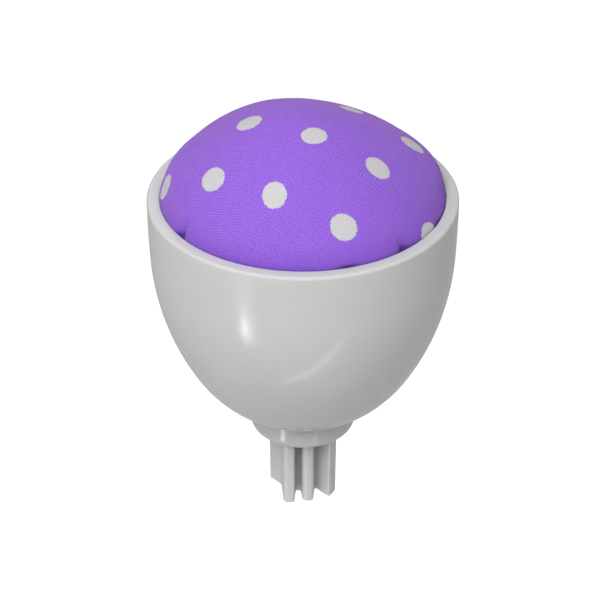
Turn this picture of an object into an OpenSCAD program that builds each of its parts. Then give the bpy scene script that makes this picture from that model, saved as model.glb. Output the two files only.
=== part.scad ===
// Pincushion cup: a glossy moulded cup on a finned peg, with a gathered cotton cushion in its mouth.
// Millimetres. The origin is the centre of the boss's flat underside, where the peg starts.
// +Z is up the cup's axis, and the front of the cup faces -Y.

/* [Cup] */
// Outer diameter of the cup at its lip
rim_d = 50; // [50:0.5:54]
// Height of the lip above the boss's underside
rim_z = 44.3; // [43.8:0.1:46]
// Thickness of the cup's wall, which is also the width of the lip
wall = 2.1; // [1.8:0.05:2.3]
// Radius of the arc down the cup's upper side
side_r = 208; // [180:1:260]
// How far the upper side turns inwards, in degrees
side_turn = 2.8; // [2:0.1:3.2]
// Radius of the arc round the cup's belly
belly_r = 44.9; // [44:0.1:47]
// How far the belly turns, in degrees
belly_turn = 27.2; // [25:0.1:29]
// Radius of the arc under the cup
under_r = 24.5; // [24:0.1:26]
// Rounding of the lip's edges
lip_round = 0.45; // [0.2:0.05:0.8]
// Diameter of the cup's flat inner floor, round the magnet's pocket
floor_d = 13.2; // [12.8:0.1:14]

/* [Boss] */
// Diameter of the boss where it leaves the cup
boss_top_d = 17.7; // [17:0.1:18]
// Diameter of the boss at its underside
boss_d = 17.5; // [16.6:0.1:17.6]
// Rounding of the boss's lower edge
boss_round = 1.5; // [0.4:0.1:1.8]

/* [Peg] */
// Diameter of the circle round the fins at the peg's root
peg_root_d = 12.1; // [12:0.05:12.5]
// Diameter of the circle round the fins at the peg's tip
peg_tip_d = 11.7; // [11.4:0.05:12]
// Length of the peg below the boss
peg_len = 13.2; // [10:0.1:18]
// Diameter of the core that the fins stand on
core_d = 4.5; // [4:0.1:5]
// Thickness of the two broad fins
broad_fin = 2.2; // [1.8:0.1:2.4]
// Gap from the peg's axis to the near face of a broad fin
broad_offset = 0.7; // [0.5:0.1:1]
// Direction of a broad fin, in degrees from straight ahead
broad_turn = 42.5; // [38:0.5:46]
// Thickness of the narrow fins at their noses
narrow_fin = 1.8; // [1.7:0.05:2]
// How far a narrow fin's sides spread from its nose to the peg's middle, on each side
narrow_draft = 0.45; // [0.2:0.05:0.5]
// Sideways place of the long narrow fin
long_x = -2.33; // [-2.45:0.01:-2.2]
// Reach of the long narrow fin from the peg's axis
long_reach = 5.4; // [5:0.05:5.6]
// Rounding of the long narrow fin's nose
long_nose = 0.4; // [0.2:0.05:0.8]
// Sideways place of the short narrow fin
short_x = 0.85; // [0.7:0.05:1]
// Reach of the short narrow fin from the peg's axis
short_reach = 4.95; // [4.5:0.05:5.2]
// Rounding of the short narrow fin's nose
short_nose = 0.75; // [0.2:0.05:0.8]

/* [Magnet] */
// Diameter of the disc magnet
magnet_d = 12; // [10:0.5:12]
// Thickness of the disc magnet
magnet_t = 3; // [2:0.5:3]
// Clearance round the magnet in its pocket
magnet_gap = 0.1; // [0.05:0.05:0.2]

/* [Cushion] */
// Height of the crown above the lip
crown_h = 15; // [12:0.1:18]
// How far the crown leans to the left
crown_lean = 1.6; // [0:0.1:2]
// Roundness of the crown's top: 2 is a dome, 1 is a cone
crown_top = 1.6; // [1.4:0.1:2.2]
// Steepness of the crown's edge: smaller is steeper
crown_edge = 0.58; // [0.45:0.01:0.7]
// How far below the lip the crown meets the cup's wall
edge_drop = 0.6; // [0.2:0.1:1.2]
// Gap between the cushion and the cup's wall
cushion_gap = 0.25; // [0.2:0.05:0.4]
// Depth of the cushion's underside below the lip
cushion_depth = 22; // [20:0.5:24]
// Thickness of the cotton cover
cover_t = 0.4; // [0.3:0.05:0.5]
// Number of gathers round the cover
gathers = 12; // [8:1:12]
// Depth of a gather at the cover's edge
gather_depth = 0.35; // [0.1:0.05:0.4]
// Diameter of the opening that the gathers are drawn to
gather_d = 16; // [12:1:20]
// Thickness of the card disc inside the cover
card_t = 1.6; // [1.2:0.1:2]
// Gap between the card's edge and the cover
card_gap = 0.2; // [0.1:0.1:0.5]
// Radius of the gathering thread
thread_r = 0.3; // [0.2:0.05:0.4]
// Width of the glue bead under the cushion
bead_w = 3.2; // [2.6:0.1:3.4]

/* [Hidden] */
$fn = 96;

rim_r = rim_d / 2;
boss_top_r = boss_top_d / 2;
boss_r = boss_d / 2;

// The outer side is three arcs, each tangent to the last. An angle is measured down from level,
// and turn_end is where the third arc meets the boss.
function on_arc(centre, r, a) = centre + r * [cos(a), -sin(a)];
function arc(centre, r, from, to, steps) =
    [for (i = [0 : steps]) on_arc(centre, r, from + (to - from) * i / steps)];
function tail(points) = [for (i = [1 : len(points) - 1]) points[i]];
function reversed(points) = [for (i = [len(points) - 1 : -1 : 0]) points[i]];

side_c = [rim_r - side_r, rim_z];
belly_end = side_turn + belly_turn;
belly_c = on_arc(side_c, side_r, side_turn) - belly_r * [cos(side_turn), -sin(side_turn)];
under_c = on_arc(belly_c, belly_r, belly_end) - under_r * [cos(belly_end), -sin(belly_end)];
turn_end = acos((boss_top_r - under_c.x) / under_r);

// The inner side keeps the same centres, one wall thickness in, and ends at the flat floor
floor_turn = acos((floor_d / 2 - under_c.x) / (under_r - wall));
floor_z = on_arc(under_c, under_r - wall, floor_turn).y;
outer_side = concat(
    arc(side_c, side_r, 0, side_turn, 6),
    tail(arc(belly_c, belly_r, side_turn, belly_end, 18)),
    tail(arc(under_c, under_r, belly_end, turn_end, 18))
);
inner_belly = tail(arc(belly_c, belly_r - wall, side_turn, belly_end, 18));
inner_side = concat(
    arc(side_c, side_r - wall, 0, side_turn, 6),
    inner_belly,
    tail(arc(under_c, under_r - wall, belly_end, floor_turn, 18))
);

// Radius of the cup's inner wall at a height, from the same three arcs
function wall_x(centre, r, z) = centre.x + sqrt(pow(r, 2) - pow(centre.y - z, 2));
side_end_z = on_arc(side_c, side_r - wall, side_turn).y;
belly_end_z = on_arc(belly_c, belly_r - wall, belly_end).y;
function inner_r(z) =
    z >= side_end_z ? wall_x(side_c, side_r - wall, z) :
    z >= belly_end_z ? wall_x(belly_c, belly_r - wall, z) :
    wall_x(under_c, under_r - wall, z);

pocket_r = magnet_d / 2 + magnet_gap;
pocket_z = floor_z - magnet_t;
cushion_low = rim_z - cushion_depth;
card_r = inner_r(cushion_low) - cushion_gap - gather_depth - cover_t - card_gap;

// The cup, boss and peg are one moulding
module bowl() {
    color("whitesmoke") {
        cup();
        peg();
    }
}

// Revolved section: lip, outer side, boss, magnet pocket, floor, inner side
module cup() {
    lip_low = rim_z - lip_round;
    rotate_extrude()
        polygon(concat(
            arc([rim_r - lip_round, lip_low], lip_round, -90, 0, 6),
            [for (p = tail(outer_side)) if (p.y < lip_low) p],
            arc([boss_r - boss_round, boss_round], boss_round, 0, 90, 8),
            [[0, 0], [0, pocket_z], [pocket_r, pocket_z], [pocket_r, floor_z]],
            [for (p = reversed(tail(inner_side))) if (p.y < lip_low) p],
            arc([rim_r - wall + lip_round, lip_low], lip_round, 180, 270, 6)
        ));
}

// Fins within a slightly tapered round envelope. The outline repeats after half a turn, and the
// peg's top is sunk into the boss.
module peg() {
    sink = 0.5;
    intersection() {
        translate([0, 0, -peg_len])
            linear_extrude(peg_len + sink)
                for (half = [0, 180])
                    rotate(half) {
                        circle(d = core_d);
                        broad_fin();
                        narrow_fin(long_x, long_reach, long_nose);
                        narrow_fin(short_x, short_reach, short_nose);
                    }
        translate([0, 0, -peg_len])
            cylinder(d1 = peg_tip_d, d2 = peg_root_d, h = peg_len + sink);
    }
}

// A fin with parallel faces, both on the same side of the peg's axis
module broad_fin() {
    rotate(broad_turn - 90)
        translate([0, broad_offset])
            square([peg_root_d, broad_fin]);
}

// A fin that stands straight forwards, narrows on its way out and ends in a round-cornered nose
module narrow_fin(x, reach, corner) {
    nose = narrow_fin / 2;
    root = nose + narrow_draft;
    nose_y = corner - reach;
    translate([x, 0]) {
        polygon([[-root, 0], [-nose, nose_y], [nose, nose_y], [root, 0]]);
        for (side = [-1, 1])
            translate([side * (nose - corner), nose_y])
                circle(r = corner);
        translate([corner - nose, -reach])
            square([narrow_fin - 2 * corner, corner]);
    }
}

// Disc magnet, dropped into the pocket in the cup's floor
module magnet() {
    color("dimgray")
        translate([0, 0, pocket_z])
            cylinder(d = magnet_d, h = magnet_t);
}

// Bead of hot-melt glue in the corner between the cup's wall and the cushion's underside. It
// reaches down the wall over three steps of the belly's arc.
module glue_bead() {
    reach = 3;
    below = [for (p = inner_belly) if (p.y < cushion_low) p];
    against = concat([[inner_r(cushion_low), cushion_low]], [for (i = [0 : reach]) below[i]]);
    low = against[len(against) - 1];
    bead_h = cushion_low - low.y;
    color("lemonchiffon")
        rotate_extrude()
            polygon(concat(
                against,
                [for (a = [80 : -20 : 0]) [low.x - bead_w * cos(a), cushion_low - bead_h * sin(a)]]
            ));
}

// Thread that draws the cover together under the card, with its knot and two ends
module gathering_thread() {
    ring_r = gather_d / 2 + 1;
    knot_r = 0.8;
    knot_gap = 10;
    end_len = 5;
    end_turn = 35;
    color("white") {
        rotate([0, 0, 90 + knot_gap / 2])
            rotate_extrude(angle = 360 - knot_gap)
                translate([ring_r, cushion_low - thread_r])
                    circle(r = thread_r, $fn = 24);
        translate([0, ring_r, cushion_low - knot_r]) {
            sphere(r = knot_r, $fn = 32);
            for (turn = [-end_turn, end_turn])
                rotate([-90, 0, turn])
                    cylinder(r = thread_r, h = end_len, $fn = 24);
        }
    }
}

// Card disc that the cover is drawn over
module base_disc() {
    color("tan")
        translate([0, 0, cushion_low + cover_t])
            cylinder(r = card_r, h = card_t);
}

// The cushion's section is a list of [radius, height, share of the gathers, share of the lean].
// The crown's height falls as (1 - s^top)^edge, where s runs from the middle to the cup's wall.
// The gathers deepen down the side from edge_share of their depth to all of it.
edge_share = 0.7;
bottom_round = 0.8;
cushion_r = inner_r(rim_z) - cushion_gap;
crown_foot = rim_z - edge_drop;
crown_rings = [for (s = [0.09, 0.22, 0.36, 0.5, 0.64, 0.77, 0.88, 0.96, 1])
    let (rise = pow(1 - pow(s, crown_top), crown_edge))
    [cushion_r * s, crown_foot + (crown_h + edge_drop) * rise, edge_share * pow(s, 6), rise]];
side_rings = [for (drop = [0.15, 0.45, 0.75, 0.96])
    let (z = crown_foot - (cushion_depth - edge_drop) * drop)
    [inner_r(z) - cushion_gap, z, edge_share + (1 - edge_share) * drop, 0]];
bottom_r = inner_r(cushion_low) - cushion_gap - bottom_round;
under_rings = [[bottom_r, cushion_low, 1, 0], [gather_d / 2, cushion_low, 0, 0]];
around = gathers * 3;

// One ring of points, drawn in between the gathers, and moved in by the cover's thickness
function ring(section, inset, drop) = [for (i = [0 : around - 1])
    let (
        a = 360 * i / around,
        r = section[0] - inset - gather_depth * section[2] * (1 - cos(gathers * a)) / 2
    )
    [r * cos(a) - crown_lean * section[3], r * sin(a), section[1] - drop]];

// How much of the cover's thickness goes inwards and how much goes down, ring by ring
function inward(s) = cover_t * min(1, pow(s / cushion_r, 3));
crown_inner = [for (c = crown_rings) ring(c, inward(c[0]), cover_t)];
side_inner = [for (c = side_rings) ring(c, cover_t, 0)];

function between(a, b) = [for (i = [0 : around - 1]) let (j = (i + 1) % around)
    each [[a * around + i, b * around + j, b * around + i],
          [a * around + i, a * around + j, b * around + j]]];
function fan(ring_no, centre, up) = [for (i = [0 : around - 1]) let (j = (i + 1) % around)
    up ? [centre, ring_no * around + j, ring_no * around + i]
       : [centre, ring_no * around + i, ring_no * around + j]];

// Fibre filling: the space inside the cover, above the card
module stuffing() {
    card_top = cushion_low + cover_t + card_t;
    foot = [card_r, card_top, 0, 0];
    sides = [for (i = [0 : len(side_inner) - 2]) side_inner[i]];
    rings = concat(crown_inner, sides, [ring(foot, 0, 0)]);
    count = len(rings);
    points = concat([for (r = rings) each r],
        [[-crown_lean, 0, rim_z + crown_h - cover_t], [0, 0, card_top]]);
    color("snow")
        polyhedron(points, concat(
            fan(0, count * around, true),
            [for (k = [0 : count - 2]) each between(k, k + 1)],
            fan(count - 1, count * around + 1, false)
        ));
}

// Cotton cover: a closed skin over the crown, down the sides and under the card to the gathers
module cover() {
    outer = [for (c = concat(crown_rings, side_rings, under_rings)) ring(c, 0, 0)];
    under_inner = [ring([card_r, cushion_low + cover_t, 0, 0], 0, 0),
                   ring([gather_d / 2, cushion_low + cover_t, 0, 0], 0, 0)];
    inner = concat(crown_inner, side_inner, under_inner);
    n = len(outer);
    points = concat([for (r = outer) each r], [for (r = inner) each r],
        [[-crown_lean, 0, rim_z + crown_h], [-crown_lean, 0, rim_z + crown_h - cover_t]]);
    top = 2 * n * around;
    color("mediumpurple")
        polyhedron(points, concat(
            fan(0, top, true),
            [for (k = [0 : n - 2]) each between(k, k + 1)],
            between(n - 1, 2 * n - 1),
            [for (k = [0 : n - 2]) each between(n + k + 1, n + k)],
            fan(n, top + 1, false)
        ));
}

bowl();
magnet();
glue_bead();
gathering_thread();
base_disc();
stuffing();
cover();
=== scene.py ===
import bmesh
import bpy
import numpy as np
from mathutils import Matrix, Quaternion, Vector


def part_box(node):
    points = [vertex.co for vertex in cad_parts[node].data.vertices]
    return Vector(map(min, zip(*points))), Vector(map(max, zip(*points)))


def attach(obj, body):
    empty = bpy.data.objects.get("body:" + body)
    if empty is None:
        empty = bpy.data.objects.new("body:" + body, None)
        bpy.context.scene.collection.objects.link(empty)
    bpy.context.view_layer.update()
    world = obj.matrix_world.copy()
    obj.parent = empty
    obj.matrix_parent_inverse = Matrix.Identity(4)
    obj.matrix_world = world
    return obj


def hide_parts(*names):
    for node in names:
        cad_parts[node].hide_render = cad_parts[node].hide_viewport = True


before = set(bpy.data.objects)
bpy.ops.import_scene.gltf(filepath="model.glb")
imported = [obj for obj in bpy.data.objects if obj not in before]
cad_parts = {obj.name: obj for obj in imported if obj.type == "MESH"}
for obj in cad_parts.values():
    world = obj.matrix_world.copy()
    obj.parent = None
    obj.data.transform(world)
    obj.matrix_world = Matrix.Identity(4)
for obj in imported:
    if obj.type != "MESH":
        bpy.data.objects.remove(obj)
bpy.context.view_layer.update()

# The bowl is one moulding in glossy grey-white plastic: a cup, a short boss and a finned peg. The
# cup and the boss are turned about the upright axis, and the peg is an outline carried down with a
# slight taper. The magnet's pocket is sunk in the cup's floor. Sizes are in millimetres.
MM = 0.001
bowl_low, bowl_high = (np.array(corner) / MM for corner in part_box("bowl"))
lip_r, lip_z, peg_len = bowl_high[0], bowl_high[2], -bowl_low[2]
wall = 2.1
side_r, side_turn = 208, 2.8
belly_r, belly_turn = 44.9, 27.2
under_r = 24.5
lip_round, lip_inner_round = 0.45, 0.2
boss_top_r, boss_r, boss_round = 8.85, 8.75, 1.5
neck_round = 0.2
flat_margin = 0.15
floor_r, pocket_r, pocket_edge, pocket_middle_r = 6.6, 6.1, 0.3, 1
pocket_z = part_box("magnet")[0].z / MM
cup_steps = 288


def arc(centre, radius, start, end, count):
    """Points on a circle at angles in degrees, which are measured down from level."""
    turn = np.radians(np.linspace(start, end, count))
    return np.asarray(centre) + radius * np.stack([np.cos(turn), -np.sin(turn)], 1)


def softened(before, corner, after, count=7):
    """A corner cut by the parabola that leaves and meets its two sides at before and after."""
    t = np.linspace(0, 1, count)[:, None]
    return (1 - t) ** 2 * before + 2 * t * (1 - t) * corner + t ** 2 * after


belly_end = side_turn + belly_turn
side_c = np.array([lip_r - side_r, lip_z])
belly_c = arc(side_c, side_r - belly_r, side_turn, side_turn, count=1)[0]
under_c = arc(belly_c, belly_r - under_r, belly_end, belly_end, count=1)[0]


def cup_side(inset, lowest_turn):
    """The cup's side from its lip down: three arcs, each tangent to the last, moved in by inset."""
    return np.concatenate([
        arc(side_c, side_r - inset, 0, side_turn, count=14),
        arc(belly_c, belly_r - inset, side_turn, belly_end, count=26)[1:],
        arc(under_c, under_r - inset, belly_end, lowest_turn, count=34)[1:],
    ])


boss_turn = np.degrees(np.arccos((boss_top_r - under_c[0]) / under_r))
floor_turn = np.degrees(np.arccos((floor_r - under_c[0]) / (under_r - wall)))
outer_side = cup_side(0, boss_turn)
inner_side = cup_side(wall, floor_turn)
floor_z = inner_side[-1, 1]


def inner_r(z):
    """Radius of the cup's inner wall at a height."""
    return np.interp(z, inner_side[::-1, 1], inner_side[::-1, 0])


def cup_profile():
    """(radius, height) from the boss's underside, up the outside, over the lip and down inside. A
    flat face has a row at its margin, beside each rounding, so that its shading stays flat."""
    boss_top = outer_side[-1]
    boss_edge = np.array([boss_r, boss_round])
    up = (boss_top - boss_edge) / np.linalg.norm(boss_top - boss_edge)
    neck_low = boss_top - neck_round * up
    clear = np.linalg.norm(outer_side - boss_top, axis=1) > neck_round
    lip_edge_z, lip_flat_r = lip_z - lip_round, lip_r - wall + lip_inner_round
    outside = outer_side[clear & (outer_side[:, 1] < lip_edge_z)]
    inside = inner_side[inner_side[:, 1] < lip_z - lip_inner_round]
    return np.concatenate([
        arc([boss_r - boss_round, boss_round], boss_round, 90, 0, count=14),
        [boss_edge + flat_margin * up, neck_low - flat_margin * up],
        softened(neck_low, boss_top, outside[-1])[:-1],
        outside[::-1],
        arc([lip_r - lip_round, lip_edge_z], lip_round, 0, -90, count=8),
        [[lip_r - lip_round - flat_margin, lip_z], [lip_flat_r + flat_margin, lip_z]],
        arc([lip_flat_r, lip_z - lip_inner_round], lip_inner_round, -90, -180, count=8),
        inside,
        [[pocket_r + pocket_edge, floor_z], [pocket_r, floor_z - pocket_edge]],
        [[pocket_r, pocket_z], [pocket_middle_r, pocket_z]],
    ])


def turned(profile, steps):
    """Row k, column j of the surface is (r_k cos t_j, r_k sin t_j, z_k)."""
    turn = np.arange(steps) * 2 * np.pi / steps
    r, z = profile[:, :1], profile[:, 1:]
    return np.stack([r * np.cos(turn), r * np.sin(turn), z + 0 * turn], 2)


# The peg's outline repeats after half a turn. A broad fin slants off the core with parallel faces,
# and two narrow fins stand straight forwards, each narrower at its nose than at its foot.
core_r = 2.25
root_r, tip_r = 6.05, 5.85
broad_near, broad_far, broad_turn = 0.7, 2.9, 42.5
nose_half, foot_half = 0.9, 1.35
long_x, long_reach = -2.33, 5.4
short_x, short_reach = 0.85, 4.95
root_flare, tip_round = 0.15, 0.1
edge_round, valley_round = 0.18, 0.2
fin_end_curve = 0.8 * root_r
peg_edge_rows = 6
long_rounds, short_rounds = (0.85, 0.4), (1.0, 0.6)
foot_in = 0.3


def crossing(first, first_way, second, second_way):
    """Where a line through one point, in a direction, meets another."""
    way = np.stack([first_way, -np.asarray(second_way)], 1)
    return first + np.linalg.solve(way, np.subtract(second, first))[0] * np.asarray(first_way)


def narrow_sides(x, reach):
    """A narrow fin's left and right side, each as its foot on the peg's middle and its nose."""
    return [(np.array([x + side * foot_half, 0]), np.array([x + side * nose_half, -reach]))
            for side in (-1, 1)]


def peg_corners(envelope):
    """The outline's 22 corners at a height where the broad fins end on a circle, the envelope."""
    along = np.array([np.sin(np.radians(broad_turn)), -np.cos(np.radians(broad_turn))])
    across = np.array([-along[1], along[0]])

    def on_envelope(offset):
        """The point where a line beside the broad fin's middle meets the circle."""
        return offset * across + np.sqrt(envelope ** 2 - offset ** 2) * along

    def on_core(x):
        """The front point of the core at a sideways place: a fin's foot, foot_in beside its nose."""
        return np.array([x, -np.sqrt(core_r ** 2 - x ** 2)])

    (long_left, long_right), (short_left, short_right) = (
        narrow_sides(long_x, long_reach), narrow_sides(short_x, short_reach))
    half = np.array([
        -on_envelope(broad_far),
        crossing(long_left[0], long_left[1] - long_left[0], -broad_far * across, along),
        long_left[1], long_right[1],
        on_core(long_x + nose_half + foot_in), on_core(short_x - nose_half - foot_in),
        short_left[1], short_right[1],
        crossing(short_right[0], short_right[1] - short_right[0], broad_near * across, along),
        on_envelope(broad_near), on_envelope((broad_near + broad_far) / 2),
    ])
    return np.concatenate([half, -half])


def rounded(corners, radii, count=7):
    """A closed outline with an arc at each corner that touches both sides. Gives the arcs' points
    and, for each, the direction that points out of the shape."""
    back = np.roll(corners, 1, 0) - corners
    ahead = np.roll(corners, -1, 0) - corners
    back = back / np.linalg.norm(back, axis=1, keepdims=True)
    ahead = ahead / np.linalg.norm(ahead, axis=1, keepdims=True)
    half = np.arccos((back * ahead).sum(1)) / 2
    middle = (back + ahead) / np.linalg.norm(back + ahead, axis=1, keepdims=True)
    centre = corners + middle * (radii / np.sin(half))[:, None]
    reach = (radii / np.tan(half))[:, None]
    first = (corners + back * reach - centre) / radii[:, None]
    last = (corners + ahead * reach - centre) / radii[:, None]
    sweep = (np.pi - 2 * half)[:, None, None]
    share = np.linspace(0, 1, count)[None, :, None]
    spoke = np.sin((1 - share) * sweep) * first[:, None] + np.sin(share * sweep) * last[:, None]
    spoke = spoke / np.sin(sweep)
    points = centre[:, None] + radii[:, None, None] * spoke
    convex = np.sign(ahead[:, 0] * back[:, 1] - ahead[:, 1] * back[:, 0])[:, None, None]
    return points.reshape(-1, 2), (spoke * convex).reshape(-1, 2)


def peg_surface():
    """Rows of the peg's side from its root to its tip. For the taper, the outline is worked out at
    each height. The flare at the root and the rounding at the tip are moves along its outward
    direction, and a row beside each keeps the shading of the sides flat."""
    turn = np.linspace(0, np.pi / 2, peg_edge_rows)
    flare = np.stack([root_flare * (1 - np.sin(turn)), -root_flare * (1 - np.cos(turn))], 1)
    tip = np.stack([-tip_round * (1 - np.cos(turn)), tip_round * (1 - np.sin(turn)) - peg_len], 1)
    straight = [[0, -root_flare - flat_margin], [0, tip_round + flat_margin - peg_len]]
    half_radii = [edge_round, valley_round, *long_rounds, valley_round, valley_round,
                  *short_rounds, valley_round, edge_round, fin_end_curve]
    radii = np.array(half_radii * 2)
    rows = []
    for out, z in np.concatenate([flare, straight, tip]):
        outline, outward = rounded(peg_corners(root_r + (root_r - tip_r) * z / peg_len), radii)
        flat = outline + out * outward
        rows.append(np.concatenate([flat, np.full((len(flat), 1), z)], 1))
    return np.array(rows)


def bands(rows, columns, start=0):
    """Quads between neighbouring rows of a grid whose columns close on themselves."""
    grid = start + np.arange(rows * columns).reshape(rows, columns)
    beside = np.roll(grid, -1, 1)
    return np.stack([grid[:-1], beside[:-1], beside[1:], grid[1:]], 2).reshape(-1, 4).tolist()


def make_piece(name, points, faces, sharp_from=35):
    """A mesh object at the origin, from points in millimetres, that rides on the bowl's body.
    Its faces are turned outwards, and its edges are smooth up to an angle in degrees."""
    mesh = bpy.data.meshes.new(name)
    mesh.from_pydata((np.asarray(points).reshape(-1, 3) * MM).tolist(), [], faces)
    shell = bmesh.new()
    shell.from_mesh(mesh)
    bmesh.ops.recalc_face_normals(shell, faces=shell.faces)
    shell.to_mesh(mesh)
    shell.free()
    mesh.shade_smooth()
    mesh.set_sharp_from_angle(angle=np.radians(sharp_from))
    made = bpy.data.objects.new(name, mesh)
    bpy.context.scene.collection.objects.link(made)
    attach(made, "root")
    return made


def underside_faces(ring, outline):
    """Two flat faces that fill the boss's underside between its edge and the peg's outline. Each
    runs along half of the outline and back along the half of the ring that it faces."""
    halves = []
    outline_half, ring_half = len(outline) // 2, len(ring) // 2
    start = np.degrees(np.arctan2(peg_rows[0, 0, 1], peg_rows[0, 0, 0])) % 360
    ring_start = int(round(start / 360 * len(ring)))
    for side in (0, 1):
        along = [outline[(side * outline_half + k) % len(outline)] for k in range(outline_half + 1)]
        back = [ring[(ring_start + side * ring_half + k) % len(ring)] for k in range(ring_half + 1)]
        halves.append(along + back[::-1])
    return halves


cup_rows = turned(cup_profile(), cup_steps)
peg_rows = peg_surface()
peg_start = cup_rows.shape[0] * cup_steps
peg_columns = peg_rows.shape[1]
peg_end = peg_start + (len(peg_rows) - 1) * peg_columns
bowl_faces = bands(len(cup_rows), cup_steps) + bands(len(peg_rows), peg_columns, peg_start)
bowl_faces.append(list(range(peg_start - cup_steps, peg_start)))
bowl_faces.append(list(range(peg_end, peg_end + peg_columns)))
bowl_faces += underside_faces(list(range(cup_steps)), list(range(peg_start, peg_start + peg_columns)))
bowl_points = np.concatenate([cup_rows.reshape(-1, 3), peg_rows.reshape(-1, 3)])
bowl = make_piece("bowl_moulding", bowl_points, bowl_faces)
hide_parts("bowl")


class Socket:
    """A shader node's output. Its operators add Math nodes, and its maths method adds those that
    have no operator."""

    def __init__(self, finish, out):
        self.finish = finish
        self.out = out

    def maths(self, operation, *others):
        """The Math node of that operation on this output and the others."""
        return self.finish.node("Math", {"operation": operation}, self, *others)

    def __add__(self, other):
        return self.maths("ADD", other)

    def __radd__(self, other):
        return self.maths("ADD", other)

    def __sub__(self, other):
        return self.maths("SUBTRACT", other)

    def __rsub__(self, other):
        return self.maths("MULTIPLY_ADD", -1.0, other)

    def __mul__(self, other):
        return self.maths("MULTIPLY", other)

    def __rmul__(self, other):
        return self.maths("MULTIPLY", other)

    def __pow__(self, other):
        return self.maths("POWER", other)

    def __lt__(self, other):
        return self.maths("LESS_THAN", other)

    def __gt__(self, other):
        return self.maths("GREATER_THAN", other)


class Finish:
    """A material under construction, whose nodes are added one by one."""

    def __init__(self, name, **constants):
        self.material = bpy.data.materials.new(name)
        self.material.use_nodes = True
        self.tree = self.material.node_tree
        self.shader = self.tree.nodes["Principled BSDF"]
        for socket, value in constants.items():
            self.shader.inputs[socket.replace("_", " ")].default_value = value

    def join(self, value, place):
        """Puts a link or a constant into a node's input."""
        if isinstance(value, Socket):
            self.tree.links.new(value.out, place)
        elif value is not None:
            place.default_value = value

    def node(self, kind, settings=None, *values, out=0, **named):
        """A new node of a kind. Its settings are set first, then its inputs, in order or by name. Out
        is the number or the name of the output that is used."""
        made = self.tree.nodes.new("ShaderNode" + kind)
        for key, value in (settings or {}).items():
            setattr(made, key, value)
        for place, value in zip(made.inputs, values):
            self.join(value, place)
        for key, value in named.items():
            self.join(value, made.inputs[key])
        return Socket(self, made.outputs[out])

    def place(self):
        """The place on the object, in metres."""
        return self.node("TexCoord", out="Object")

    def stretched(self, place, scale):
        """The place scaled by a factor on each axis."""
        return self.node("Mapping", None, place, Scale=scale)

    def mix(self, share, first, second):
        """A colour between two colours. Of a Mix node's sockets, inputs 6 and 7 and output 2 are
        those for colours."""
        made = self.tree.nodes.new("ShaderNodeMix")
        made.data_type = "RGBA"
        for value, place in ((share, 0), (first, 6), (second, 7)):
            self.join(value, made.inputs[place])
        return Socket(self, made.outputs[2])

    def noise(self, place, scale, detail=2.0, roughness=0.5):
        """Smooth noise from 0 to 1, with scale in bumps per unit of the place."""
        return self.node("TexNoise", None, Vector=place, Scale=scale, Detail=detail,
                         Roughness=roughness)

    def specks(self, place, scale, above):
        """1 in the spots where the noise rises past a limit, and 0 between them."""
        return self.noise(place, scale) > above

    def done(self, colour, roughness, height=None, depth=0.0):
        """Joins what varies over the surface. Depth is the height's full range in metres."""
        self.join(colour, self.shader.inputs["Base Color"])
        self.join(roughness, self.shader.inputs["Roughness"])
        if height is not None:
            bump = self.node("Bump", None, Strength=1.0, Distance=depth, Height=height)
            self.join(bump, self.shader.inputs["Normal"])
        return self.material


def plastic():
    """Glossy moulded plastic: faint clouding in the colour, and a surface that is not quite true."""
    made = Finish("cup_plastic", IOR=1.5, Specular_IOR_Level=0.42, Subsurface_Weight=0.5,
                  Subsurface_Scale=0.0016, Subsurface_Radius=(1.0, 0.9, 0.75))
    place = made.place()
    cloud = made.noise(place, scale=60, detail=3.0)
    flow = made.noise(made.stretched(place, (1, 1, 0.15)), scale=420)
    speck = made.specks(place, scale=2600, above=0.73)
    pale = (0.705, 0.705, 0.7, 1)
    dull = (0.665, 0.665, 0.657, 1)
    dust = (0.5, 0.5, 0.48, 1)
    colour = made.mix(0.25 * speck, made.mix(cloud, dull, pale), dust)
    rough = 0.11 + 0.06 * flow + 0.2 * speck
    waves = made.noise(place, scale=150, detail=1.0) + 0.12 * flow
    return made.done(colour, rough, waves, depth=0.00006)


bowl.data.materials.append(plastic())

# The magnet is a disc of sintered ferrite, dropped into the pocket in the cup's floor, which holds
# it closely all round. It is dark grey and matt, with a grain and small pits, like fired clay.


def ferrite():
    """Sintered ferrite: a fine grain, with pale worn specks, and small pits that are sunk and painted
    darker, as painted shade in the pits.
    """
    made = Finish("ferrite")
    place = made.place()
    grain = made.noise(place, scale=1800, detail=4.0)
    pit = made.specks(place, scale=700, above=0.68)
    dark = (0.045, 0.045, 0.05, 1)
    worn = (0.11, 0.11, 0.12, 1)
    pit_shade = (0.02, 0.02, 0.022, 1)
    # The pits are painted darker: painted shade in the hollows.
    colour = made.mix(0.6 * pit, made.mix(grain, dark, worn), pit_shade)
    return made.done(colour, 0.55 + 0.2 * grain, grain - 0.5 * pit, depth=0.00003)


def refinish(node, material):
    """Gives a carried-over node its material."""
    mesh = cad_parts[node].data
    mesh.materials.clear()
    mesh.materials.append(material)


refinish("magnet", ferrite())

# The base disc is stiff greyboard, punched round. It keeps the cushion's underside flat, and the
# cover is drawn over its edge from above and gathered under it.


def greyboard():
    """Pressed grey-brown pulp: short fibres and darker flecks."""
    made = Finish("greyboard")
    place = made.place()
    fibre = made.noise(made.stretched(place, (1, 5, 5)), scale=500, detail=5.0)
    fleck = made.specks(place, scale=1500, above=0.68)
    brown = (0.3, 0.25, 0.19, 1)
    straw = (0.46, 0.4, 0.32, 1)
    bark = (0.14, 0.12, 0.1, 1)
    colour = made.mix(0.5 * fleck, made.mix(fibre, brown, straw), bark)
    return made.done(colour, 0.75 + 0.2 * fibre, fibre, depth=0.0001)


refinish("base_disc", greyboard())

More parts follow.
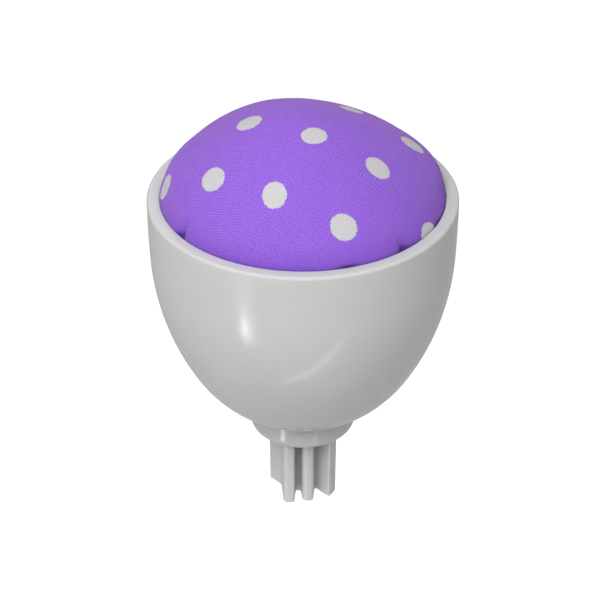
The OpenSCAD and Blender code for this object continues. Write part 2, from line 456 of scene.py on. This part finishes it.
# The stuffing is polyester fibre, teased into a lumpy ball and pressed down on the disc. It fills
# the cover and crowns it. The crown leans a little to the left.
crown_h, crown_lean = 14.9, 1.4
crown_top, crown_edge = 1.6, 0.594
lip_drop = 0.6
crown_samples, side_samples = 2000, 200
rim_bulge, bulge_z, bulge_reach = 0.28, 0.9, 0.9
cushion_gap, disc_gap = 0.25, 0.4
cushion_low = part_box("base_disc")[0].z / MM - disc_gap
cushion_r = inner_r(lip_z) - cushion_gap
fibre_inset, fibre_lift, fibre_lump = 0.75, 3, 0.15
fibre_columns, fibre_step = 200, 0.8


def meridian(row_gap):
    """The cushion's section as (radius, height, share of the lean), in equal steps from the top
    of the crown to its edge and on down the side. The crown's height falls as
    (1 - s^top)^edge, where s runs from 0 at the top to 1 at the wall. The section bulges by a bell
    curve just above the lip."""
    s = np.sin(np.linspace(0, np.pi / 2, crown_samples))
    rise = (1 - s ** crown_top) ** crown_edge
    crown = np.stack([cushion_r * s, lip_z - lip_drop + (crown_h + lip_drop) * rise, rise], 1)
    z = np.linspace(lip_z - lip_drop, cushion_low, side_samples)[1:]
    side = np.stack([inner_r(z) - cushion_gap, z, 0 * z], 1)
    whole = np.concatenate([crown, side])
    above = whole[:, 1] - lip_z + lip_drop
    whole[:, 0] += rim_bulge * np.exp(-((above - bulge_z) / bulge_reach) ** 2)
    step = np.linalg.norm(np.diff(whole[:, :2], axis=0), axis=1)
    along = np.concatenate([[0], np.cumsum(step)])
    even = np.linspace(0, along[-1], int(along[-1] / row_gap) + 1)
    return np.stack([np.interp(even, along, column) for column in whole.T], 1), even


folds = [
    # angle from +X in degrees, half width, depth, height of its reach above the lip, slant
    (-147.0, 0.75, 1.1, 4.5, 0.25),
    (-46.0, 0.95, 1.05, 2.0, -0.1),
    (-72.5, 1.5, 0.6, 0.8, 0.3),
    (22, 1.3, 0.3, 6.0, 0.5),
    (-21, 0.8, 0.25, 1.2, 0.0),
]
swells = [
    # angle from +X in degrees, distance over the cloth from the crown's top, radius, height
    (13, 26, 9.3, 1.03),
    (67, 10.7, 6.1, -0.29),
    (168, 23, 5.6, 0.31),
    (158, 17.4, 6.0, -0.2),
]
fold_sink, swell_from = 6, 2


def outward(points):
    """Unit directions out of a closed grid of points, from the slopes along and across it."""
    along = np.gradient(points, axis=0)
    wrapped = np.concatenate([points[:, -1:], points, points[:, :1]], 1)
    across = (wrapped[:, 2:] - wrapped[:, :-2]) / 2
    normal = np.cross(along, across)
    return normal / np.maximum(np.linalg.norm(normal, axis=2, keepdims=True), 1e-9)


def cushion_surface(row_gap, columns, inset):
    """The cushion's face, row by row from the crown's top down to the disc and moved inwards by
    inset, with its sheet coordinates. A fold is a groove along a line up from the lip and a swell
    is a low mound or hollow above the lip, both with a bell-shaped section. Below the lip a fold
    dies away over fold_sink, and above it a swell comes in over swell_from."""
    section, along = meridian(row_gap)
    section, along = section[1:], along[1:]
    turn = np.arange(columns) * 2 * np.pi / columns
    r, z, lean = (column[:, None] for column in section.T)
    above = z - (lip_z - lip_drop)
    points = np.stack([r * np.cos(turn) - crown_lean * lean, r * np.sin(turn), z + 0 * turn], 2)
    groove = 0 * turn + 0 * r
    for angle, half_width, depth, reach, slant in folds:
        aside = (turn - np.radians(angle) + np.pi) % (2 * np.pi) - np.pi
        aside = aside * cushion_r - slant * above
        fade = np.exp(-(np.maximum(above, 0) / reach) ** 2) * np.exp(np.minimum(above, 0) / fold_sink)
        groove = groove + depth * np.exp(-(aside / half_width) ** 2) * fade
    sheet = np.stack([along[:, None] * np.cos(turn), along[:, None] * np.sin(turn)], 2)
    free = 1 - np.exp(-(np.maximum(above, 0) / swell_from) ** 2)
    for angle, distance, radius, height in swells:
        middle = distance * np.array([np.cos(np.radians(angle)), np.sin(np.radians(angle))])
        away = np.linalg.norm(sheet - middle, axis=2)
        groove = groove - height * np.exp(-(away / radius) ** 2) * free
    points = points - outward(points) * (groove + inset)[:, :, None]
    return points, sheet


def fibre_ball():
    """The cushion's face, inset from the cover. At the turn t and v millimetres down the cloth, its
    lumps are sin(5t + v/2) sin(2t + 0.9v) + sin(9t - v)."""
    turn = np.arange(fibre_columns) * 2 * np.pi / fibre_columns
    rows = len(meridian(fibre_step)[0]) - 1
    down = np.arange(rows)[:, None] * fibre_step
    lump = np.sin(5 * turn + 0.5 * down) * np.sin(0.9 * down + 2 * turn) + np.sin(9 * turn - down)
    points = cushion_surface(fibre_step, fibre_columns, fibre_inset + fibre_lump * lump)[0]
    points = points[points[:, 0, 2] > cushion_low + fibre_lift]
    last = (len(points) - 1) * fibre_columns
    faces = bands(len(points), fibre_columns)
    faces.append(list(range(fibre_columns)))
    faces.append(list(range(last, last + fibre_columns)))
    return make_piece("fibre_stuffing", points, faces)


def fibrefill():
    """Crimped white polyester: fine strands in the colour and the surface."""
    made = Finish("fibrefill", Sheen_Weight=0.4)
    place = made.place()
    bend = made.noise(place, scale=300)
    strand = made.noise(made.stretched(place, (1, 6, 3)), scale=700, detail=6.0, roughness=0.7)
    shaded = (0.62, 0.61, 0.6, 1)
    white = (0.86, 0.86, 0.85, 1)
    colour = made.mix(strand, shaded, white)
    return made.done(colour, 0.85 + 0.1 * bend, strand, depth=0.0006)


stuffing = fibre_ball()
stuffing.data.materials.append(fibrefill())
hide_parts("stuffing")

# The cover is a circle of printed cotton, drawn over the stuffing and the disc and gathered below.
# It is stretched smooth over the crown, tucks in at a few places along the lip and goes down inside.
cover_columns, cover_step = 320, 0.4
cloth_t = 0.3
gather_r = 8
pleats, pleat_depth, pleat_swing = 24, 0.18, 0.9


def cover_floor(last_row, last_sheet, rows=16):
    """The cover under the disc: the last row drawn in to the gathers. The pleats rise and fall as
    the cosine of the turn, the more the nearer they are to the gathers."""
    share = np.linspace(0, 1, rows + 1)[1:, None]
    turn = np.arctan2(last_row[:, 1], last_row[:, 0])
    r = np.hypot(last_row[:, 0], last_row[:, 1])
    r = r + (gather_r - r) * share
    growth = np.sin(np.pi / 2 * share)
    pleat = pleat_depth * (1 - pleat_swing * np.cos(pleats * turn) * growth)
    points = np.stack([r * np.cos(turn), r * np.sin(turn), cushion_low + pleat], 2)
    reach = np.linalg.norm(last_sheet, axis=1)
    sheet = last_sheet * (1 + (r[:1] - r)[:, :, None] / reach[:, None])
    return points, sheet


# The print's dots stand in rows on the sheet, in millimetres to the right and to the back of the
# crown's top. Some were drawn aside when the cloth was pulled over: the place in the rows, then the
# shift. Three of these went down behind the lip.
dot_turn = -25.2
first_dot = np.array([-14.1, -10.9])
step_across, step_down = np.array([10.7, -5.05]), np.array([-6.2, -11.65])
drawn_aside = {
    (0, 0): (-0.2, 0.4),
    (1, 0): (-0.4, -0.6),
    (2, 0): (0.4, -0.2),
    (0, -1): (0.5, -1.1),
    (1, -1): (0.3, -1.0),
    (2, -1): (0.0, 0.8),
    (2, -2): (0.0, 0.9),
    (1, -2): (0.3, 1.1),
    (3, -1): (0.9, -0.5),
    (-1, 0): (-0.9, 3.6),
    (-1, -1): (-0.5, 3.5),
    (0, 1): (-2.0, -2.6),
    (1, 1): (-0.6, -2.0),
    (3, 0): (1.5, -2.6),
}
# The pull also stretched or narrowed these dots: the place in the rows, then the factor outwards
# from the crown's top and the factor around it.
pulled = {
    (0, 0): (1.0, 1.05),
    (1, 0): (1.07, 0.9),
    (0, -1): (1.03, 0.9),
    (1, -1): (0.83, 1.0),
    (2, -1): (1.0, 0.9),
    (1, -2): (0.9, 0.9),
    (2, -2): (1.0, 0.76),
}


def dot_offsets(corners, middles, along, section_r):
    """How far each corner is from the dot nearest to its face's middle, in millimetres outwards
    and around, as on the cloth where it lies: there a step around is shorter than on the sheet."""
    steps = np.array([step_across, step_down])
    cell = np.rint((middles - first_dot) @ np.linalg.inv(steps))
    dot = first_dot + cell @ steps
    for place, shift in drawn_aside.items():
        dot[(cell == place).all(1)] += shift
    distance = np.linalg.norm(dot, axis=1)
    out = dot / distance[:, None]
    around = np.stack([-out[:, 1], out[:, 0]], 1)
    shorter = np.interp(distance, along, section_r) / distance
    offset = corners - dot
    stretch = np.ones_like(dot)
    for place, factors in pulled.items():
        stretch[(cell == place).all(1)] = factors
    return np.stack([(offset * out).sum(1), (offset * around).sum(1) * shorter], 1) / stretch


def write_map(mesh, name, values):
    """A UV map from a row of two numbers for each corner of each face."""
    uv = mesh.uv_layers.new(name=name)
    uv.data.foreach_set("uv", values.astype(np.float32).ravel())


def make_cover():
    """Joins the cover's faces into one skin, closes its top and gives it thickness inwards."""
    top, top_sheet = cushion_surface(cover_step, cover_columns, 0)
    low, low_sheet = cover_floor(top[-1], top_sheet[-1])
    rows = np.concatenate([top, low])
    sheet = np.concatenate([top_sheet, low_sheet]).reshape(-1, 2)
    pole = [-crown_lean, 0, lip_z + crown_h]
    points = np.concatenate([rows.reshape(-1, 3), [pole]])
    sheet = np.concatenate([sheet, [[0, 0]]])
    faces = bands(len(rows), cover_columns)
    centre = len(points) - 1
    faces += [[centre, (k + 1) % cover_columns, k] for k in range(cover_columns)]
    made = make_piece("cotton_cover", points, faces)
    cosine, sine = np.cos(np.radians(dot_turn)), np.sin(np.radians(dot_turn))
    threads = sheet @ np.array([[cosine, -sine], [sine, cosine]])
    corners = np.zeros(len(made.data.loops), np.int32)
    made.data.loops.foreach_get("vertex_index", corners)
    sides = np.zeros(len(made.data.polygons), np.int32)
    made.data.polygons.foreach_get("loop_total", sides)
    middles = np.add.reduceat(sheet[corners], np.cumsum(sides) - sides) / sides[:, None]
    section, along = meridian(cover_step)
    write_map(made.data, "threads", threads[corners])
    write_map(made.data, "dots", dot_offsets(sheet[corners], np.repeat(middles, sides, 0),
                                             along, section[:, 0]))
    thickness = made.modifiers.new("cloth thickness", "SOLIDIFY")
    thickness.thickness = cloth_t * MM
    thickness.offset = -1
    return made


def cotton():
    """Plain-weave cotton, purple, printed with white dots whose edges follow the threads. From a
    little above the lip down it is painted darker, as painted shade where the cloth meets the lip."""
    dot_r = 2.12
    edge_ragged, edge_stepped = 0.4, 0.2
    thread_pitch, thread_wander = 0.39, 1.6
    # Where the painted shade near the lip begins on the sheet, and over how many millimetres it
    # deepens.
    lip_shade_from, lip_shade_width = 24.2, 5.6
    shaded, lit = (0.2, 0.066, 0.6, 1), (0.47, 0.23, 0.95, 1)
    faded, lip_shade_colour = (0.31, 0.125, 0.74, 1), (0.17, 0.062, 0.5, 1)
    grey, pale = (0.58, 0.57, 0.585, 1), (0.76, 0.75, 0.76, 1)
    made = Finish("dotted_cotton", Sheen_Weight=0.24, Sheen_Roughness=0.5,
                  Sheen_Tint=(1.0, 0.7, 1.0, 1.0), Specular_IOR_Level=0.15)
    place = made.node("UVMap", {"uv_map": "threads"})
    across = made.node("SeparateXYZ", None, place, out="X")
    down = made.node("SeparateXYZ", None, place, out="Y")
    offset = made.node("UVMap", {"uv_map": "dots"})
    aside = made.node("SeparateXYZ", None, offset, out="X")
    ahead = made.node("SeparateXYZ", None, offset, out="Y")
    drift = made.noise(place, scale=0.7)
    warp = across * (1 / thread_pitch) + thread_wander * drift
    weft = down * (1 / thread_pitch) - thread_wander * drift

    def ridge(value):
        """1 along the middle of each thread and 0 between threads."""
        return 0.5 - 0.5 * (value * (2 * np.pi)).maths("COSINE")

    warp_slub = made.noise(made.stretched(place, (1, 0.12, 1)), scale=2.2)
    weft_slub = made.noise(made.stretched(place, (0.12, 1, 1)), scale=2.2)
    over = 0.5 + 0.5 * (warp * np.pi).maths("SINE") * (weft * np.pi).maths("SINE")
    height = ridge(warp) * over * (0.5 + warp_slub) + ridge(weft) * (1 - over) * (0.5 + weft_slub)
    fuzz = made.noise(place, scale=6, detail=3.0)
    cloud = made.noise(place, scale=0.13, detail=3.0)
    ragged = made.noise(place, scale=2.2, detail=2.0, roughness=0.6) - 0.5
    far = (aside ** 2 + ahead ** 2) ** 0.5
    dot = far + edge_ragged * ragged + edge_stepped * (height - 0.5) < dot_r
    # Thread tops are painted lighter and the hollows between threads darker: painted shade of the
    # weave in the purple and in the dots, with fuzz adding random tone.
    light = height + 0.7 * (fuzz - 0.5)
    purple = made.mix(0.35 * cloud, made.mix(light, shaded, lit), faded)
    # Painted shade near the lip: the purple is darkened over a band of the sheet that reaches the
    # lip.
    past_start = (across ** 2 + down ** 2) ** 0.5 - lip_shade_from
    lip_shade = (past_start * (1 / lip_shade_width)).maths("MAXIMUM", 0.0).maths("MINIMUM", 1.0)
    purple = made.mix(lip_shade ** 2, purple, lip_shade_colour)
    colour = made.mix(dot, purple, made.mix(light, grey, pale))
    return made.done(colour, 0.8 + 0.15 * fuzz, height + 0.3 * fuzz, depth=0.00007)


cover = make_cover()
cover.data.materials.append(cotton())
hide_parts("cover")

# The gathering thread is twisted white polyester. It is run round the cover's edge, drawn tight
# under the disc and knotted.


def thread():
    """Twisted thread: slanting plies in the colour and the surface."""
    made = Finish("polyester_thread")
    ply = made.noise(made.stretched(made.place(), (3, 3, 1)), scale=900, detail=3.0)
    shaded = (0.6, 0.6, 0.58, 1)
    white = (0.85, 0.85, 0.83, 1)
    colour = made.mix(ply, shaded, white)
    return made.done(colour, 0.55 + 0.2 * ply, ply, depth=0.0002)


refinish("gathering_thread", thread())

# The glue bead is hot-melt glue and holds the cushion in the cup. It is laid in the corner between
# the cup's wall and the cushion's underside.


def hot_melt():
    """Set hot-melt glue: milky, wavy and glossy."""
    made = Finish("hot_melt", IOR=1.48, Subsurface_Weight=0.4, Subsurface_Scale=0.002)
    wave = made.noise(made.place(), scale=160)
    amber = (0.62, 0.58, 0.44, 1)
    milky = (0.76, 0.73, 0.6, 1)
    colour = made.mix(wave, amber, milky)
    return made.done(colour, 0.22 + 0.15 * wave, wave, depth=0.0004)


refinish("glue_bead", hot_melt())

# The studio, in metres: a pale floor far below the raised bowl, soft light all round, and the
# camera. What is white to the camera is dimmer in the plastic's reflections, by mirrored_share.
mirrored_share = 0.18
surround_strength, paper_glow = 0.168, 0.75


def backdrop_paper():
    """White paper that looks white to the camera, and still takes the object's shadow."""
    made = Finish("backdrop_paper")
    mirrored = made.node("LightPath", out="Is Glossy Ray") * mirrored_share
    seen = made.node("LightPath", out="Is Camera Ray").maths("MAXIMUM", mirrored)
    seen = seen.maths("MAXIMUM", made.node("LightPath", out="Is Transmission Ray"))
    bright = made.mix(seen, (0.0, 0.0, 0.0, 1), (paper_glow, paper_glow, paper_glow, 1))
    made.shader.inputs["Emission Strength"].default_value = 1.0
    made.join(bright, made.shader.inputs["Emission Color"])
    grain = made.noise(made.place(), scale=300)
    colour = made.mix(grain, (0.7, 0.7, 0.7, 1), (0.74, 0.74, 0.74, 1))
    return made.done(colour, roughness=0.9)


floor_drop = 0.32
floor_half = 3.0
floor_mesh = bpy.data.meshes.new("floor")
floor_corners = [(-1, -1), (1, -1), (1, 1), (-1, 1)]
floor_mesh.from_pydata([(x * floor_half, y * floor_half, -floor_drop) for x, y in floor_corners],
                       [], [(0, 1, 2, 3)])
floor = bpy.data.objects.new("floor", floor_mesh)
bpy.context.scene.collection.objects.link(floor)
floor.data.materials.append(backdrop_paper())

world = bpy.data.worlds.new("studio")
bpy.context.scene.world = world
world.use_nodes = True
sky = world.node_tree.nodes
links = world.node_tree.links
surround = sky["Background"]
surround.inputs["Color"].default_value = (1, 1, 1, 1)
surround.inputs["Strength"].default_value = surround_strength
white_ground = sky.new("ShaderNodeBackground")
white_ground.inputs["Strength"].default_value = 1.0
rays = sky.new("ShaderNodeLightPath")
direct = sky.new("ShaderNodeMath")
direct.operation = "MAXIMUM"
seen = sky.new("ShaderNodeMath")
seen.operation = "MULTIPLY_ADD"
seen.use_clamp = True
seen.inputs[1].default_value = mirrored_share
links.new(rays.outputs["Is Camera Ray"], direct.inputs[0])
links.new(rays.outputs["Is Transmission Ray"], direct.inputs[1])
links.new(rays.outputs["Is Glossy Ray"], seen.inputs[0])
links.new(direct.outputs[0], seen.inputs[2])
choice = sky.new("ShaderNodeMixShader")
links.new(seen.outputs[0], choice.inputs[0])
links.new(surround.outputs[0], choice.inputs[1])
links.new(white_ground.outputs[0], choice.inputs[2])
links.new(choice.outputs[0], sky["World Output"].inputs["Surface"])


def lamp(name, azimuth, elevation, watts, size, roll=0, distance=1.0, aim=(0, 0, 0.03), gloss=False):
    """A soft light turned towards the cup. Azimuth is in degrees to the right of the front. It
    lights either the matt part of what it falls on or, with gloss, only the reflections."""
    data = bpy.data.lights.new(name, "AREA")
    data.shape = "ELLIPSE" if gloss else "RECTANGLE"
    data.size, data.size_y = size
    data.energy = watts
    made = bpy.data.objects.new(name, data)
    azimuth, elevation = np.radians(azimuth), np.radians(elevation)
    level = np.cos(elevation)
    towards = Vector((np.sin(azimuth) * level, -np.cos(azimuth) * level, np.sin(elevation)))
    made.location = Vector(aim) + towards * distance
    made.rotation_mode = "QUATERNION"
    turned_in_plane = Quaternion((0, 0, 1), np.radians(roll))
    made.rotation_quaternion = towards.to_track_quat("Z", "Y") @ turned_in_plane
    made.visible_diffuse = not gloss
    made.visible_glossy = gloss
    bpy.context.scene.collection.objects.link(made)
    return made


# Four wide lamps light the matt part of everything.
wide = (0.5, 0.5)
lamp("key", azimuth=-20, elevation=50, watts=7.45, size=wide)
lamp("fill", azimuth=60, elevation=35, watts=1.8, size=wide)
lamp("low", azimuth=-50, elevation=10, watts=1.5, size=wide)
lamp("back", azimuth=-140, elevation=50, watts=0.9, size=wide)

# The others are seen in the gloss only: a bright spot on the cup's left with its glow and the
# streak above it, a faint crescent low on the right, the lip's sheen and a line on the boss.
spot = (-0.009, -0.0231, 0.034)
lamp("spark", azimuth=-46, elevation=-39.2, watts=0.016, size=(0.012, 0.02), roll=35,
     distance=0.35, aim=spot, gloss=True)
lamp("halo", azimuth=-45.1, elevation=-42.1, watts=0.043, size=(0.072, 0.066), roll=35,
     distance=0.35, aim=spot, gloss=True)
lamp("streak", azimuth=-46, elevation=-33, watts=0.019, size=(0.11, 0.12),
     distance=0.35, aim=(-0.0092, -0.0231, 0.0385), gloss=True)
lamp("crescent", azimuth=15.4, elevation=-57.1, watts=0.03, size=(0.26, 0.018), roll=43,
     distance=0.3, aim=(0.001, -0.0236, 0.0275), gloss=True)
lamp("lip", azimuth=-170, elevation=30.6, watts=0.03, size=(0.07, 0.12),
     distance=0.31, aim=(-0.024, 0, 0.0345), gloss=True)
glint = lamp("glint", azimuth=-47.5, elevation=-40, watts=0.000042, size=(0.026, 0.05),
             distance=0.25, aim=(-0.0029, -0.0083, 0.0026), gloss=True)
glint.data.spread = np.radians(8)

camera_down = 32.8
camera_data = bpy.data.cameras.new("camera")
camera_data.lens = 156
camera_data.sensor_width = 36
camera_data.clip_start = 0.01
camera = bpy.data.objects.new("camera", camera_data)
camera.location = (-0.00046, -0.35869, 0.25546)
camera.rotation_euler = (np.radians(90 - camera_down), 0, 0)
bpy.context.scene.collection.objects.link(camera)
bpy.context.scene.camera = camera
bpy.context.scene.view_settings.view_transform = "Standard"
